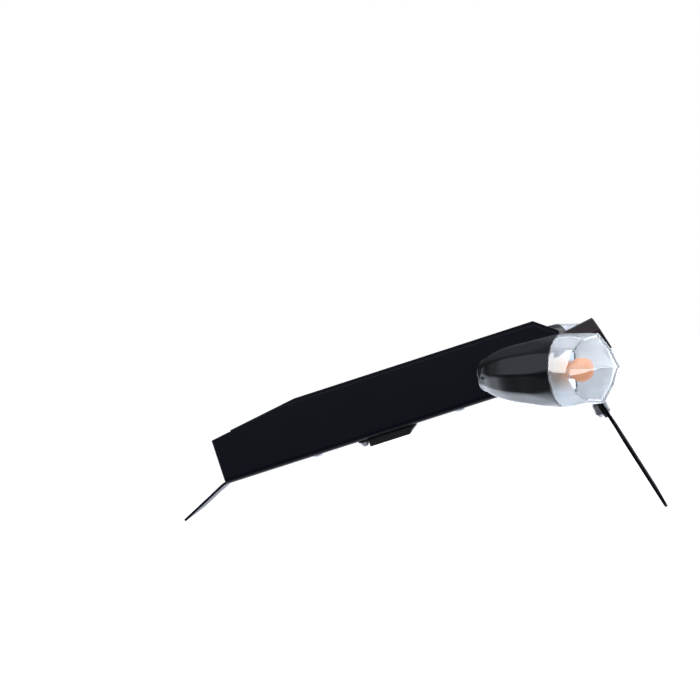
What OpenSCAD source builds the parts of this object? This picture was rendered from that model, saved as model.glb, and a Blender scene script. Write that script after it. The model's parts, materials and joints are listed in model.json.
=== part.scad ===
// Tail tidy for a motorbike: a folded steel tray that closes the underside of the tail,
// with a raked number-plate hanger, a plate lamp under its own hood and two indicators.
// +X runs rearward along the tray floor, +Y to the rider's right, +Z up from the floor.
// The origin is the middle of the four tail bolts, on the faces that meet the tail.

/* [Tray] */
// Distance from the origin forward to the front edge of the floor
tray_front = 134; // [120:1:160]
// Distance from the origin back to the rear edge of the floor
tray_rear = 155; // [150:1:170]
// Width of the tray over its side walls
tray_w = 100; // [96:1:110]
// Height of the side walls over the underside of the floor
tray_h = 46; // [42:1:56]
// Thickness of the tray sheet
sheet_t = 2; // [1.5:0.5:3]
// Inner radius of the folds between floor and walls
fold_r = 3; // [2:0.5:5]
// Length of the folded front lip
lip_l = 42; // [20:1:60]
// Angle at which the front lip drops below the floor
lip_angle = 25; // [10:1:40]
// Height of the upstand across the rear of the floor
upstand_h = 20; // [18:1:24]

/* [Tail mounting] */
// Distance between the bolts along the tray
bolt_span_x = 120; // [100:1:140]
// Distance between the bolts across the tray
bolt_span_y = 50; // [44:1:56]
// Diameter of the tail bolts
bolt_d = 6; // [5:0.5:8]
// Clearance on the diameter of every bolt hole
hole_gap = 0.6; // [0.4:0.1:1]
// Height of the spacers between tray and tail
spacer_h = 15.5; // [12:0.5:24]
// Outer diameter of the spacers
spacer_d = 16; // [14:0.5:18]
// Height of the pressed seats round the tail bolts
seat_h = 2.5; // [1.5:0.5:3]

/* [Loom guard] */
// Depth of the guard below the floor
guard_h = 6.6; // [5:0.2:12]
// Length of the guard along the floor, without its flange
guard_l = 41; // [36:1:60]
// Thickness of the guard
guard_t = 1.2; // [1:0.1:2]
// Distance from the origin forward to the front of the guard
guard_front = 15; // [10:1:24]

/* [Plate hanger] */
// Length of the flat blade below its fold
hanger_l = 118; // [106:1:150]
// Lean of the blade from square to the floor
hanger_rake = 14.5; // [8:0.5:25]
// Thickness of the hanger
hanger_t = 2.5; // [2:0.5:4]
// Width of the neck
neck_w = 84; // [76:1:88]
// Width of the plate area
plate_w = 150; // [120:2:180]
// Distance from the fold to where the blade widens
neck_l = 47; // [44:1:60]
// Distance between the number-plate holes
plate_hole_span = 76; // [60:1:90]

/* [Lamp hood] */
// Thickness of the hood sheet
hood_t = 1.5; // [1:0.5:2]
// Height of the crown over the origin, at the rear edge
hood_crown = 14.7; // [12:0.1:20]
// Drop from the crown to the side edges
hood_drop = 7.6; // [4:0.2:10]
// Width of the flat crown
hood_flat = 36; // [24:1:60]
// Rise of the hood toward the rear
hood_rise = 9; // [4:0.5:14]
// Depth of the rear skirt below the crown
skirt_h = 24.7; // [20:0.1:30]
// Reach of the hood behind the rear edge of the tray floor, at its crown
hood_reach = 28.6; // [26:0.2:36]

/* [Plate lamp] */
// Width of the lamp body
lamp_w = 58; // [50:1:64]
// Depth of the lamp body from the upstand
lamp_l = 22; // [20:0.5:24]
// Height of the lamp body
lamp_h = 13; // [11:0.5:15]
// Wall of the lamp body
lamp_wall = 1.8; // [1.4:0.2:2.4]

/* [Indicators] */
// Distance from the middle of the tray to the middle of each lens joint
ind_y = 115; // [112:1:130]
// Distance from the rear edge of the floor forward to the middle of each lens joint
ind_ahead = 6; // [0:1:12]
// Height of the lens joint over the origin
ind_z = -12; // [-16:1:-8]
// Outward turn of the indicator
ind_toe = 25; // [15:1:35]
// Drop of the indicator's axis to the rear, against the floor
ind_pitch = 13.2; // [5:0.2:18]
// Half height of the faceted body at the lens joint
body_r = 28.6; // [26:0.2:32]
// Length of the body ahead of the lens joint
body_l = 71; // [64:1:80]
// Wall of the body
body_wall = 2.4; // [2:0.2:3.2]
// Depth of the lens at its middle
lens_l = 24.3; // [22:0.1:30]
// Slant of the lens front against the joint
lens_slant = 24; // [10:1:30]
// Wall of the lens
lens_wall = 2; // [1.6:0.2:2.6]
// Diameter of the bulb globe
globe_d = 18; // [16:0.5:20]
// Diameter of the stalk where it enters the body
stalk_d = 16; // [14:0.5:18]
// Diameter of the hollow stud through the tray wall
stud_d = 10; // [8:0.5:12]

/* [Hidden] */
$fn = 48;
eps = 0.02;

steel_black = [0.07, 0.07, 0.08];
plastic_black = [0.1, 0.1, 0.11];
rubber_black = [0.14, 0.14, 0.15];
zinc = [0.72, 0.74, 0.76];
brass = [0.75, 0.62, 0.3];
clear = [0.86, 0.9, 0.94];
amber = [0.95, 0.5, 0.1];

// Levels of the tray, worked out from the stack on each tail bolt
seat_z = -spacer_h;
floor_top = seat_z - seat_h;
floor_z = floor_top - sheet_t;
wall_top = floor_z + tray_h;
half_w = tray_w / 2;
inner_w = tray_w - 2 * sheet_t;
bend_r = fold_r + sheet_t;

// Proportions of standard screws, from the thread diameter
function head_d(d) = 1.75 * d;
function head_h(d) = 0.55 * d;
function nut_d(d) = 1.9 * d;
function nut_h(d) = 0.8 * d;
function washer_d(d) = 2 * d;
washer_t = 1.6;

m4 = 4;
m3 = 3;
m5 = 5;
tap_gap = 0.1;
hex_key = 0.6;

tail_points = [for (sx = [-1, 1], sy = [-1, 1]) [sx * bolt_span_x / 2, sy * bolt_span_y / 2]];

// A button-head screw hanging head down, with its head's seat at the origin
module button_screw(d, l) {
    difference() {
        rotate_extrude() polygon([
            [0, -head_h(d)],
            [0.3 * head_d(d), -head_h(d)],
            [0.42 * head_d(d), -0.75 * head_h(d)],
            [head_d(d) / 2, -0.3 * head_h(d)],
            [head_d(d) / 2, 0],
            [d / 2, 0],
            [d / 2, l - 0.1 * d],
            [0.4 * d, l],
            [0, l]
        ]);
        translate([0, 0, -head_h(d) - eps])
            cylinder(h = 0.6 * head_h(d) + eps, d = hex_key * d * 1.15, $fn = 6);
    }
}

// A hexagon nut standing on the origin, bored for its screw
module hex_nut(d) {
    difference() {
        intersection() {
            cylinder(h = nut_h(d), d = nut_d(d), $fn = 6);
            rotate_extrude() polygon([
                [0, 0],
                [0.45 * nut_d(d), 0],
                [0.5 * nut_d(d) + eps, 0.12 * nut_h(d)],
                [0.5 * nut_d(d) + eps, 0.88 * nut_h(d)],
                [0.45 * nut_d(d), nut_h(d)],
                [0, nut_h(d)]
            ]);
        }
        translate([0, 0, -1]) cylinder(h = nut_h(d) + 2, d = d + eps);
    }
}

module washer(d, t) {
    difference() {
        cylinder(h = t, d = washer_d(d));
        translate([0, 0, -1]) cylinder(h = t + 2, d = d + hole_gap);
    }
}

// A flat slot along X, centred on the origin
module slot2d(l, d) {
    square([l - d, d], center = true);
    for (s = [-1, 1]) translate([s * (l - d) / 2, 0]) circle(d = d);
}

// A flat outline with its rear corners rounded: x from 0 to l, y centred
module tongue2d(l, w, r) {
    translate([0, -w / 2]) square([l - r, w]);
    translate([0, -w / 2 + r]) square([l, w - 2 * r]);
    for (s = [-1, 1]) translate([l - r, s * (w / 2 - r)]) circle(r = r);
}

// Places a shape drawn in X and Z, extruded across Y from y0 to y1
module across(y0, y1) {
    translate([0, y1, 0]) rotate([90, 0, 0]) linear_extrude(y1 - y0) children();
}

// Walks a hole or screw through the side walls, drawn along +Z from the outer face inward
module through_walls(x, z, y) {
    for (s = [-1, 1]) translate([x, s * y, z]) rotate([s * 90, 0, 0]) children();
}

// Under tray

// Section of the channel: floor, two rounded folds and two walls
module channel2d() {
    translate([-half_w + bend_r, floor_z]) square([tray_w - 2 * bend_r, sheet_t]);
    for (s = [-1, 1]) {
        translate([s * (half_w - sheet_t / 2) - sheet_t / 2, floor_z + bend_r])
            square([sheet_t, tray_h - bend_r]);
        intersection() {
            translate([s * (half_w - bend_r), floor_z + bend_r]) difference() {
                circle(r = bend_r);
                circle(r = fold_r);
            }
            translate([s * (half_w - bend_r / 2) - bend_r / 2, floor_z]) square([bend_r, bend_r]);
        }
    }
}

wall_rear_drop = 14;
wall_rear_run = 18;
wall_front_drop = 9;
wall_front_run = 60;

// The upper edges of the walls fall away at both ends
module wall_trims() {
    across(-half_w - 1, half_w + 1) polygon([
        [tray_rear - wall_rear_run, wall_top + 1],
        [tray_rear - wall_rear_run, wall_top],
        [tray_rear, wall_top - wall_rear_drop],
        [tray_rear + 1, wall_top - wall_rear_drop],
        [tray_rear + 1, wall_top + 1]
    ]);
    across(-half_w - 1, half_w + 1) polygon([
        [-tray_front + wall_front_run, wall_top + 1],
        [-tray_front + wall_front_run, wall_top],
        [-tray_front, wall_top - wall_front_drop],
        [-tray_front - 1, wall_top - wall_front_drop],
        [-tray_front - 1, wall_top + 1]
    ]);
}

function arc(c, r, a0, a1, n) =
    [for (i = [0 : n]) let (a = a0 + (a1 - a0) * i / n) c + r * [cos(a), sin(a)]];

// The lip's outline in X and Z: a gentle fold and a straight flap
lip_fold_r = 8;
module lip2d() {
    c = [-tray_front, floor_z - lip_fold_r];
    a1 = 90 + lip_angle;
    dir = [-cos(lip_angle), -sin(lip_angle)];
    top = arc(c, lip_fold_r + sheet_t, 90, a1, 5);
    low = arc(c, lip_fold_r, a1, 90, 5);
    polygon(concat(top, [top[5] + dir * lip_l, low[0] + dir * lip_l], low));
}

lip_w = tray_w - 2 * bend_r;

// The pressed seats: a flat round the washer and a conical side
seat_flat = 5;
seat_slope = 5;
seat_d = washer_d(bolt_d) + seat_flat;

module seat_bosses() {
    for (p = tail_points) translate([p[0], p[1], floor_top - eps])
        cylinder(h = seat_h + eps, d1 = seat_d + seat_slope + 2 * sheet_t, d2 = seat_d + seat_slope);
}

module seat_hollows() {
    for (p = tail_points) translate([p[0], p[1], floor_z - eps])
        cylinder(h = seat_h + eps, d1 = seat_d + seat_slope, d2 = seat_d);
}

upstand_spare = 4;
upstand_w = lamp_w + 2 * upstand_spare;
grommet_back = 30;
grommet_x = -tray_front + grommet_back;
grommet_hole = 16;
grommet_rim = 2;

guard_flange = 8;
guard_rear = guard_l - guard_front;
guard_w = tray_w - 2 * bend_r;

// Drain slots on the middle line, clear of the grommet and of the guard
drain_l = 26;
drain_w = 8;
drain_gap = 4;
drain_x = [
    grommet_x + grommet_hole / 2 + grommet_rim + drain_gap + drain_l / 2,
    -guard_front - guard_flange - drain_gap - drain_l / 2,
    guard_rear + drain_gap + drain_l / 2,
    guard_rear + 2 * drain_gap + 1.5 * drain_l
];

// Centre of the stalks on the tray walls
ind_x = tray_rear - ind_ahead;
stalk_s = 44;
stalk_x = ind_x - stalk_s * cos(ind_toe) * cos(ind_pitch);
stalk_z = ind_z + stalk_s * cos(ind_toe) * sin(ind_pitch);
stalk_bore = stud_d + hole_gap;

hood_screw_ahead = 10;
hood_screw_up = 12;
hood_screw_x = tray_rear - hood_screw_ahead;
hood_screw_z = floor_z + hood_screw_up;

bracket_t = 3;
bracket_l = 56;
bracket_ahead = 20;
bracket_x0 = stalk_x - bracket_ahead;
bracket_slot_l = 30;
bracket_slot_w = 20;

// Two rows of hanger bolts near the rear edge of the floor
hanger_flange_l = 43;
hanger_row_ahead = 11;
hanger_row_step = 22;
hanger_bolt_y = 24;
hanger_rows = [for (k = [0, 1]) tray_rear - hanger_row_ahead - k * hanger_row_step];
hanger_bolts_at = [for (x = hanger_rows, s = [-1, 1]) [x, s * hanger_bolt_y]];
hanger_bolt_spare = 2;

lamp_screw_in = 9;
lamp_lift = 5;
lamp_screw_y = lamp_w / 2 - lamp_screw_in;
lamp_z = floor_top + lamp_lift;
lamp_screw_z = lamp_z + lamp_h / 2;

guard_screw_in = 10;
guard_screw_l = 8;
guard_screw_x = -guard_front - head_d(m4) / 2 - 0.5;
guard_screw_y = half_w - guard_screw_in;

module under_tray() {
    color(steel_black) difference() {
        union() {
            translate([-tray_front, 0, 0]) rotate([90, 0, 90])
                linear_extrude(tray_front + tray_rear) channel2d();
            across(-lip_w / 2, lip_w / 2) lip2d();
            seat_bosses();
            translate([tray_rear - sheet_t, -upstand_w / 2, floor_z])
                cube([sheet_t, upstand_w, upstand_h]);
        }
        wall_trims();
        seat_hollows();
        for (p = tail_points) translate([p[0], p[1], floor_z - 1])
            cylinder(h = sheet_t + seat_h + 2, d = bolt_d + hole_gap);
        for (x = drain_x) translate([x, 0, floor_z - 1])
            linear_extrude(sheet_t + 2) slot2d(drain_l, drain_w);
        translate([grommet_x, 0, floor_z - 1]) cylinder(h = sheet_t + 2, d = grommet_hole);
        for (s = [-1, 1]) translate([guard_screw_x, s * guard_screw_y, floor_z - 1])
            cylinder(h = sheet_t + 2, d = m4 + tap_gap);
        for (p = hanger_bolts_at) translate([p[0], p[1], floor_z - 1])
            cylinder(h = sheet_t + 2, d = bolt_d + hole_gap);
        for (s = [-1, 1]) translate([tray_rear - sheet_t - 1, s * lamp_screw_y, lamp_screw_z])
            rotate([0, 90, 0]) cylinder(h = sheet_t + 2, d = m3 + hole_gap);
        through_walls(stalk_x, stalk_z, half_w + 1) cylinder(h = sheet_t + 2, d = stalk_bore);
        through_walls(hood_screw_x, hood_screw_z, half_w + 1)
            cylinder(h = sheet_t + 2, d = m4 + hole_gap);
    }
}

// Loom guard: a shallow cover under the floor, chamfered to the rear, with a flange ahead
guard_chamfer = 5.6;
guard_nose = 2;
guard_nose_h = 0.55;

module guard_outline2d(inset) {
    top = floor_z + (inset > 0 ? 1 : 0);
    polygon([
        [-guard_front + inset, top],
        [-guard_front + inset, floor_z - guard_h + inset],
        [guard_rear - guard_chamfer - guard_nose - inset, floor_z - guard_h + inset],
        [guard_rear - guard_chamfer - inset, floor_z - guard_nose_h * guard_h],
        [guard_rear - inset, top]
    ]);
}

module loom_guard() {
    color(steel_black) difference() {
        union() {
            across(-guard_w / 2, guard_w / 2) guard_outline2d(0);
            translate([-guard_front - guard_flange, -guard_w / 2, floor_z - guard_t])
                cube([guard_flange, guard_w, guard_t]);
        }
        across(-guard_w / 2 + guard_t, guard_w / 2 - guard_t) guard_outline2d(guard_t);
        for (s = [-1, 1]) translate([guard_screw_x, s * guard_screw_y, floor_z - guard_t - 1])
            cylinder(h = guard_t + 2, d = m4 + hole_gap);
    }
}

module guard_screws() {
    color(zinc) for (s = [-1, 1])
        translate([guard_screw_x, s * guard_screw_y, floor_z - guard_t])
            button_screw(m4, guard_screw_l);
}

// Rear bracket: a thicker cradle inside the tray whose ears take the stalks
ear_gap = 0.2;
ear_y = inner_w / 2 - ear_gap;
ear_lower = 6;
ear_h = tray_h - sheet_t - ear_lower;
ear_l = 40;

module rear_bracket() {
    color(steel_black) difference() {
        union() {
            translate([bracket_x0, -ear_y + fold_r, floor_top])
                cube([bracket_l, 2 * (ear_y - fold_r), bracket_t]);
            for (s = [-1, 1]) {
                translate([
                    bracket_x0,
                    s * (ear_y - bracket_t / 2) - bracket_t / 2,
                    floor_top + fold_r + bracket_t
                ]) cube([ear_l, bracket_t, ear_h - fold_r - bracket_t]);
                across_fold(s);
            }
        }
        translate([bracket_x0 + bracket_l / 2, 0, floor_top - 1])
            linear_extrude(bracket_t + 2) slot2d(bracket_slot_l, bracket_slot_w);
        through_walls(stalk_x, stalk_z, ear_y + 1) cylinder(h = bracket_t + 2, d = stalk_bore);
        for (p = hanger_bolts_at) translate([p[0], p[1], floor_top - 1])
            cylinder(h = bracket_t + 2, d = bolt_d + hole_gap);
    }
}

// The rounded fold between the bracket's base and one ear
module across_fold(s) {
    r1 = fold_r + bracket_t;
    translate([bracket_x0, 0, 0]) rotate([90, 0, 90]) linear_extrude(ear_l) intersection() {
        translate([s * (ear_y - r1), floor_top + r1]) difference() {
            circle(r = r1);
            circle(r = fold_r);
        }
        translate([s * (ear_y - r1 / 2) - r1 / 2, floor_top]) square([r1, r1]);
    }
}

// Plate hanger: flange, fold and a blade that widens from its neck to the plate area
hanger_z = floor_z - hanger_t;
hanger_fold_r = 4;
hanger_fold_back = 2.1;
hanger_fold_x = tray_rear + hanger_fold_back;
blade_x = hanger_fold_x + hanger_fold_r * cos(hanger_rake);
blade_z = hanger_z - hanger_fold_r + hanger_fold_r * sin(hanger_rake);
shoulder_l = 8;
plate_corner_r = 10;

// Rows of plate holes, by their height over the blade's lower end
low_hole_up = 12;
plate_hole_up = 32;
side_hole_up = 50;
side_hole_in = 16;
plate_hole_u = hanger_l - plate_hole_up;
low_hole_u = hanger_l - low_hole_up;
side_hole_u = hanger_l - side_hole_up;
side_hole_y = plate_w / 2 - side_hole_in;

// The two windows, by the place of their middle below the fold
window_l = 46;
window_w = 16;
window_below = 24;
window_u = neck_l + window_below;
neck_window_l = 34;
neck_window_w = 12;
neck_window_u = 13;

// The stiffener across the neck, on the blade's front face, and its two screws
stiffener_t = 2;
stiffener_l = 14;
stiffener_spare = 4;
stiffener_w = neck_w - 2 * stiffener_spare;
stiffener_u = 31;
neck_screw_y = 30;

// The pressed line across the blade, above which the number plate doesn't rest
bead_d = 3;
bead_depth = 0.6;
bead_u = neck_l - bead_d;

module on_blade() {
    translate([blade_x, 0, blade_z]) rotate([0, 90 - hanger_rake, 0]) children();
}

// The hanger from the side: flange, fold and blade as one bent strip
module hanger_strip2d() {
    c = [hanger_fold_x, hanger_z - hanger_fold_r];
    along = [sin(hanger_rake), -cos(hanger_rake)];
    outer = arc(c, hanger_fold_r + hanger_t, 90, hanger_rake, 8);
    inner = arc(c, hanger_fold_r, hanger_rake, 90, 8);
    polygon(concat(
        [[tray_rear - hanger_flange_l, floor_z]],
        outer,
        [outer[8] + along * hanger_l, inner[0] + along * hanger_l],
        inner,
        [[tray_rear - hanger_flange_l, hanger_z]]
    ));
}

// The flat outline of the blade, its neck drawn on past the fold
neck_run = hanger_flange_l - 3;
blade_cut = 1.3 * hanger_flange_l;
module blade2d() {
    translate([-neck_run - 2, -neck_w / 2]) square([neck_run + neck_l + shoulder_l + 3, neck_w]);
    translate([neck_l + shoulder_l, 0])
        tongue2d(hanger_l - neck_l - shoulder_l, plate_w, plate_corner_r);
    polygon([
        [neck_l, -neck_w / 2],
        [neck_l + shoulder_l, -plate_w / 2],
        [neck_l + shoulder_l + 1, -plate_w / 2],
        [neck_l + shoulder_l + 1, plate_w / 2],
        [neck_l + shoulder_l, plate_w / 2],
        [neck_l, neck_w / 2]
    ]);
}

// Number-plate holes and the two windows
module blade_holes2d() {
    for (s = [-1, 1]) {
        for (u = [plate_hole_u, low_hole_u])
            translate([u, s * plate_hole_span / 2]) circle(d = bolt_d + hole_gap);
        translate([side_hole_u, s * side_hole_y]) circle(d = bolt_d + hole_gap);
    }
    for (s = [-1, 1]) translate([stiffener_u, s * neck_screw_y]) circle(d = m5 + hole_gap);
    translate([window_u, 0]) rotate(90) slot2d(window_l, window_w);
    translate([neck_window_u, 0]) rotate(90) slot2d(neck_window_l, neck_window_w);
}

module plate_hanger() {
    color(steel_black) difference() {
        across(-plate_w / 2, plate_w / 2) hanger_strip2d();
        on_blade() translate([0, 0, -blade_cut]) linear_extrude(1.5 * blade_cut) difference() {
            translate([-neck_run, -plate_w / 2 - 1])
                square([neck_run + hanger_l + 1, plate_w + 2]);
            blade2d();
        }
        on_blade() translate([0, 0, -1]) linear_extrude(hanger_t + 2) blade_holes2d();
        on_blade() translate([bead_u, 0, hanger_t + bead_d / 2 - bead_depth])
            rotate([90, 0, 0]) cylinder(h = neck_w + 2, d = bead_d, center = true);
        for (p = hanger_bolts_at) translate([p[0], p[1], hanger_z - 1])
            cylinder(h = hanger_t + 2, d = bolt_d + hole_gap);
    }
}

module hanger_bolts() {
    color(zinc) for (p = hanger_bolts_at) translate([p[0], p[1], hanger_z])
        button_screw(bolt_d, hanger_t + sheet_t + bracket_t + nut_h(bolt_d) + hanger_bolt_spare);
}

module hanger_nuts() {
    color(zinc) for (p = hanger_bolts_at) translate([p[0], p[1], floor_top + bracket_t])
        hex_nut(bolt_d);
}

module neck_stiffener() {
    color(steel_black) on_blade() translate([stiffener_u, 0, -stiffener_t])
        linear_extrude(stiffener_t) difference() {
            rotate(90) slot2d(stiffener_w, stiffener_l);
            for (s = [-1, 1]) translate([0, s * neck_screw_y]) circle(d = m5 + hole_gap);
        }
}

module neck_screws() {
    color(zinc) on_blade() for (s = [-1, 1])
        translate([stiffener_u, s * neck_screw_y, hanger_t]) rotate([180, 0, 0])
            button_screw(m5, hanger_t + stiffener_t + nut_h(m5) + 1);
}

module neck_nuts() {
    color(zinc) on_blade() for (s = [-1, 1])
        translate([stiffener_u, s * neck_screw_y, -stiffener_t]) rotate([180, 0, 0])
            hex_nut(m5);
}

// Lamp hood: a crowned top, a raked skirt behind it and two cheeks on the tray walls
hood_edge_z = hood_crown - hood_drop;
skirt_z = hood_crown - skirt_h;
hood_x0 = tray_rear + 0.2;
cheek_l = 25;
cheek_corner = 4;
cheek_step = 6;
cheek_x0 = tray_rear - cheek_l;
hood_tan = tan(hood_rise);

// Where the skirt's outer face stands at a height
function skirt_x(z) = tray_rear + hood_reach + (hood_crown - z) * tan(hanger_rake);

// One section of the hood at a place across it, for the height z of its rear corner
function hood_section(y, z) = [
    [hood_x0, y, z - (skirt_x(z) - hood_x0) * hood_tan],
    [skirt_x(z), y, z],
    [skirt_x(skirt_z), y, skirt_z],
    [skirt_x(skirt_z) - hood_t, y, skirt_z],
    [skirt_x(z) - hood_t, y, z - hood_t],
    [hood_x0, y, z - hood_t - (skirt_x(z) - hood_x0) * hood_tan]
];

// Joins a row of sections, each a ring of as many points, into one closed solid.
// A bent section names the convex faces that its two ends are made of.
module loft(sections, ends = undef) {
    n = len(sections[0]);
    m = len(sections);
    caps = is_undef(ends) ? [[for (j = [0 : n - 1]) j]] : ends;
    points = [for (ring = sections, p = ring) p];
    sides = [for (i = [0 : m - 2], j = [0 : n - 1])
        [i * n + j, i * n + (j + 1) % n, (i + 1) * n + (j + 1) % n, (i + 1) * n + j]];
    near = [for (f = caps) [for (k = [len(f) - 1 : -1 : 0]) f[k]]];
    far = [for (f = caps) [for (j = f) (m - 1) * n + j]];
    polyhedron(points, concat(sides, near, far), convexity = 4);
}

module hood_shell() {
    loft([
        hood_section(half_w, hood_edge_z),
        hood_section(hood_flat / 2, hood_crown),
        hood_section(-hood_flat / 2, hood_crown),
        hood_section(-half_w, hood_edge_z)
    ], ends = [[0, 1, 4, 5], [1, 2, 3, 4]]);
}

module cheek2d() {
    front_top = hood_edge_z - (skirt_x(hood_edge_z) - hood_x0) * hood_tan;
    difference() {
        polygon([
            [cheek_x0, skirt_z + cheek_corner],
            [cheek_x0 + cheek_corner, skirt_z],
            [skirt_x(skirt_z), skirt_z],
            [skirt_x(hood_edge_z), hood_edge_z],
            [hood_x0, front_top],
            [cheek_x0, front_top - cheek_step]
        ]);
        translate([hood_screw_x, hood_screw_z]) circle(d = m4 + hole_gap);
    }
}

module lamp_hood() {
    color(steel_black) {
        hood_shell();
        across(half_w, half_w + hood_t) cheek2d();
        across(-half_w - hood_t, -half_w) cheek2d();
    }
}

module hood_screws() {
    color(zinc) through_walls(hood_screw_x, hood_screw_z, half_w + hood_t)
        button_screw(m4, hood_t + sheet_t + nut_h(m4) + 1);
}

module hood_nuts() {
    color(zinc) through_walls(hood_screw_x, hood_screw_z, half_w - sheet_t)
        hex_nut(m4);
}

// Plate lamp: a shallow moulded body on the upstand, its lens facing down over the plate
lamp_r = 3;
lamp_edge = 2;
lens_skirt = 2;
lens_sheet = 1.2;

// A bar with rounded rear corners, lying behind the upstand
module lamp_bar(inset, z0, h) {
    translate([tray_rear + inset, 0, z0])
        linear_extrude(h) tongue2d(lamp_l - 2 * inset, lamp_w - 2 * inset, max(lamp_r - inset, 0.8));
}

module lamp_body() {
    color(plastic_black) difference() {
        union() {
            lamp_bar(0, lamp_z, lamp_h - lamp_edge);
            lamp_bar(0.6 * lamp_edge, lamp_z, lamp_h);
        }
        lamp_bar(lamp_wall, lamp_z - 1, lamp_h - 2 * lamp_wall + 1);
        for (s = [-1, 1]) translate([tray_rear - 1, s * lamp_screw_y, lamp_screw_z])
            rotate([0, 90, 0]) cylinder(h = lamp_wall + 2, d = m3 + tap_gap);
    }
}

board_t = 1.6;
board_z = lamp_z + lamp_h - 2 * lamp_wall - board_t;
led_l = 5;
led_h = 1.2;
led_dome_h = 0.4;

module lamp_board() {
    color([0.1, 0.35, 0.2]) lamp_bar(lamp_wall + 0.2, board_z, board_t);
}

module lamp_leds() {
    color([0.95, 0.93, 0.8]) for (k = [-1, 0, 1])
        translate([tray_rear + 0.6 * lamp_l, 1.6 * led_l * k, board_z - led_h]) {
            translate([-led_l / 2, -led_l / 2, 0]) cube([led_l, led_l, led_h]);
            translate([0, 0, -led_dome_h]) cylinder(h = led_dome_h + eps, d = 0.7 * led_l);
        }
}

module lamp_lens() {
    color(clear) difference() {
        union() {
            lamp_bar(0, lamp_z - lens_skirt, lens_skirt);
            lamp_bar(lamp_wall + 0.2, lamp_z - eps, 1.25 * lens_sheet);
        }
        lamp_bar(lamp_wall + 0.2 + lens_sheet, lamp_z - lens_skirt + lens_sheet, lens_skirt + 2);
    }
}

// The lamp is held by two screws through the upstand, heads inside the tray
module lamp_screws() {
    color(zinc) for (s = [-1, 1])
        translate([tray_rear - sheet_t, s * lamp_screw_y, lamp_screw_z]) rotate([0, 90, 0])
            button_screw(m3, sheet_t + lamp_wall);
}

// Hardware of the tail mounting
module tail_spacers() {
    color(zinc) for (p = tail_points) translate([p[0], p[1], seat_z]) difference() {
        cylinder(h = spacer_h, d = spacer_d);
        translate([0, 0, -1]) cylinder(h = spacer_h + 2, d = bolt_d + hole_gap);
    }
}

// The bolts have a shoulder that centres washer, tray and spacer and ends level with the
// spacer's top, so only the thinner threaded end stands out of the part.
seat_under = floor_z + seat_h;
shoulder_d = bolt_d + 0.7 * hole_gap;

module tail_bolts() {
    color(zinc) for (p = tail_points) translate([p[0], p[1], seat_under - washer_t]) {
        button_screw(bolt_d, washer_t + sheet_t + spacer_h + 2.5 * bolt_d);
        cylinder(h = washer_t + sheet_t + spacer_h, d = shoulder_d);
    }
}

module tail_washers() {
    color(zinc) for (p = tail_points) translate([p[0], p[1], seat_under - washer_t])
        washer(bolt_d, washer_t);
}

// The loom enters through a rubber grommet near the front of the floor
grommet_lip = 1.5;
grommet_wall = 2.5;

module loom_grommet() {
    hole_r = grommet_hole / 2;
    color(rubber_black) translate([grommet_x, 0, floor_z]) rotate_extrude() polygon([
        [hole_r - grommet_wall, -grommet_lip],
        [hole_r + 0.75 * grommet_rim, -grommet_lip],
        [hole_r + grommet_rim, 0],
        [hole_r, 0],
        [hole_r, sheet_t],
        [hole_r + grommet_rim, sheet_t],
        [hole_r + 0.75 * grommet_rim, sheet_t + grommet_lip],
        [hole_r - grommet_wall, sheet_t + grommet_lip]
    ]);
}

// Indicators: drawn along +X from the lens joint, +Y towards the tray, then turned to place
SIDES = 10;

// A ten-sided ring at x, its half width and half height, and how far it slants with Y
function ring(x, wy, wz, slant) = [for (i = [0 : SIDES - 1])
    let (a = 360 * (i + 0.5) / SIDES)
    [x + wy * cos(a) * tan(slant), wy * cos(a), wz * sin(a)]];

module place(side) {
    mirror([0, side > 0 ? 1 : 0, 0]) translate([ind_x, -ind_y, ind_z])
        rotate([0, ind_pitch, 0]) rotate([0, 0, -ind_toe]) children();
}

joint_gap = 0.8;

// Stations of the housing: how far ahead, as a share of its length, and its share of radius
body_stations = [[0.68, 0.7], [0.88, 0.5], [0.97, 0.33], [1, 0.21]];

// The housing's form, w inside its outer face, from x_end at the lens joint to its blunt nose
module housing_form(w, x_end) {
    loft(concat(
        [ring(x_end, body_r - w, body_r - w, 0)],
        [for (k = [0 : 3]) let (
            x = -body_stations[k][0] * body_l + (k > 1 ? w : 0),
            r = max(body_stations[k][1] * body_r - w, 1)
        ) ring(x, r, r, 0)]
    ));
}

stalk_l = 34;
stalk_tip_y = half_w + stalk_l;

module housing(side) {
    color(plastic_black) difference() {
        place(side) difference() {
            housing_form(0, -joint_gap);
            housing_form(body_wall, 1);
        }
        stalk_bar(side, stalk_d + 0.2, half_w + 1, stalk_tip_y + 0.5 * stalk_d);
    }
}

// A round bar along Y from the tray wall outward, on the stalk's centre
module stalk_bar(side, d, y0, y1) {
    translate([stalk_x, side * y0, stalk_z]) rotate([-side * 90, 0, 0]) cylinder(h = y1 - y0, d = d);
}

// Rubber stalk with a wide foot on the wall and a hollow stud through it
stud_run = 13;
stud_wall = 2;
foot_h = 3;
foot_spread = 5;
foot_cone = 6;

module stalk(side) {
    stud_end = -sheet_t - ear_gap - bracket_t - stud_run;
    color(rubber_black) translate([stalk_x, side * half_w, stalk_z]) rotate([-side * 90, 0, 0])
        difference() {
            rotate_extrude() polygon([
                [0, stud_end],
                [stud_d / 2, stud_end],
                [stud_d / 2, 0],
                [stalk_d / 2 + foot_spread, 0],
                [stalk_d / 2 + foot_spread, foot_h],
                [stalk_d / 2 + 0.6 * foot_spread, foot_h + 0.33 * foot_cone],
                [stalk_d / 2, foot_h + foot_cone],
                [stalk_d / 2, stalk_l],
                [0, stalk_l]
            ]);
            translate([0, 0, stud_end - 1])
                cylinder(h = stalk_l - stud_end + 2, d = stud_d - 2 * stud_wall);
        }
}

nut_seat_y = ear_y - bracket_t;
stud_nut_h = 6;

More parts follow.
